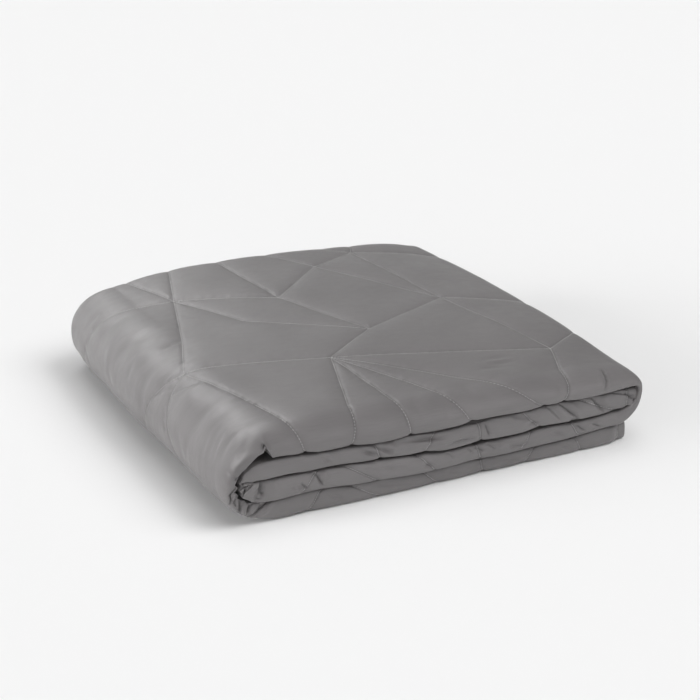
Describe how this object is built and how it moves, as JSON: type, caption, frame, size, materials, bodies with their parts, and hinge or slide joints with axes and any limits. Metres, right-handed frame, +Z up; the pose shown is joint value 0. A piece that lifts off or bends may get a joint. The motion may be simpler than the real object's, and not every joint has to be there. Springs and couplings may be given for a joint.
{
  "type": "folded cooling blanket",
  "caption": "Smooth quilted cooling blanket, folded in thirds and rolled flat into a soft-cornered bundle that rests on a shelf or bed.",
  "frame": {"origin": "middle of the underside of the folded bundle, on the surface it rests on", "axes": "+Z up, through the layers; -Y towards the rounded fold fronts; -X towards the big roll-over"},
  "size_m": [0.5158, 0.5236, 0.1032],
  "materials": {
    "quilted_cloth": "satin"
  },
  "bodies": {
    "root": {"blanket": "quilted_cloth"}
  },
  "joints": []
}
